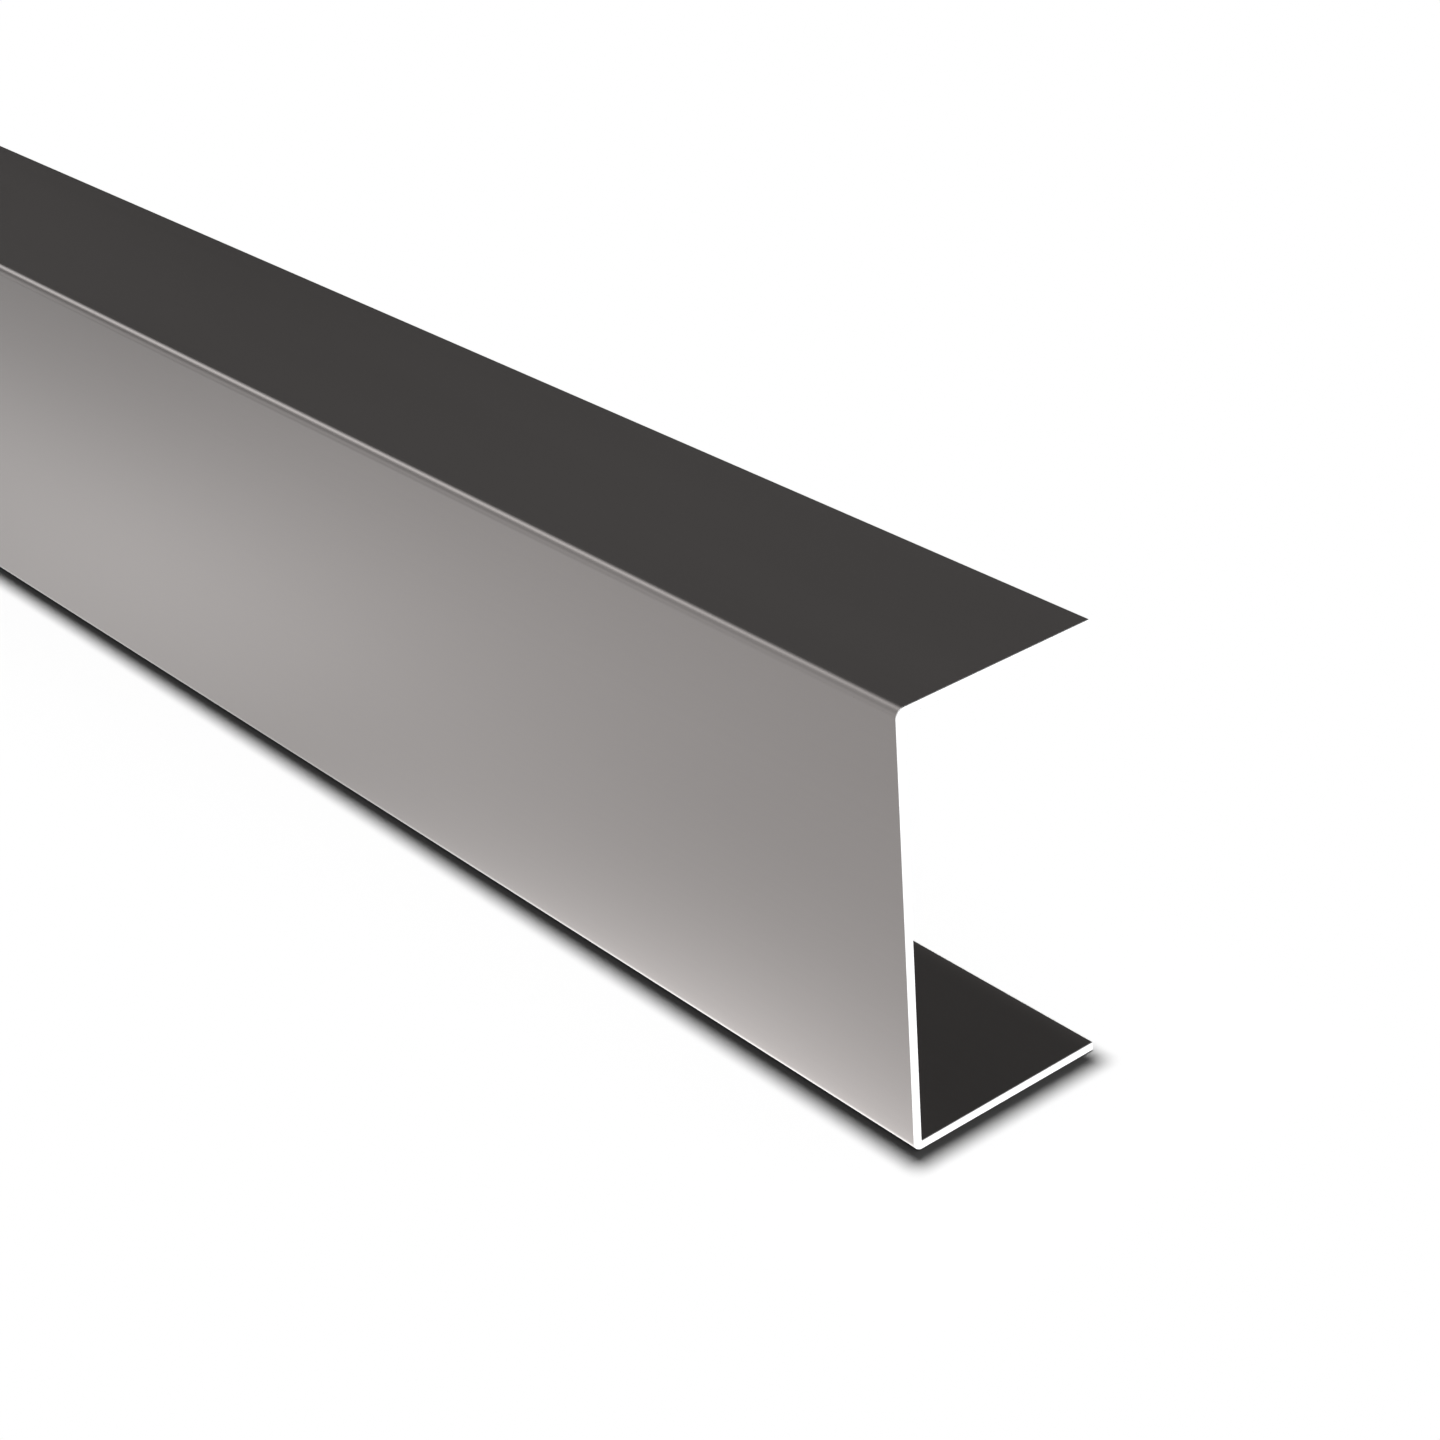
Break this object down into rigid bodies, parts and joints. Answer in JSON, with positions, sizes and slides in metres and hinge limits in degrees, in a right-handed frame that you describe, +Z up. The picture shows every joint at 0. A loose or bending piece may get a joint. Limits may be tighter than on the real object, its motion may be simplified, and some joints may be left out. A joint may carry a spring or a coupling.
{
  "type": "u-channel",
  "caption": "Long U-shaped channel folded from coated sheet metal, with a tall web, equal flanges, tight bends and square cut ends.",
  "frame": {"origin": "middle of the bar's length and of its overall width, at the underside it rests on", "axes": "+X along the bar towards the end nearest in the picture, +Y from the web towards the open side, +Z up"},
  "size_m": [1, 0.04, 0.08],
  "materials": {
    "coated_sheet": "satin metallic coating, bare bright cut edges"
  },
  "bodies": {
    "root": {"u_channel": "coated_sheet"}
  },
  "joints": []
}
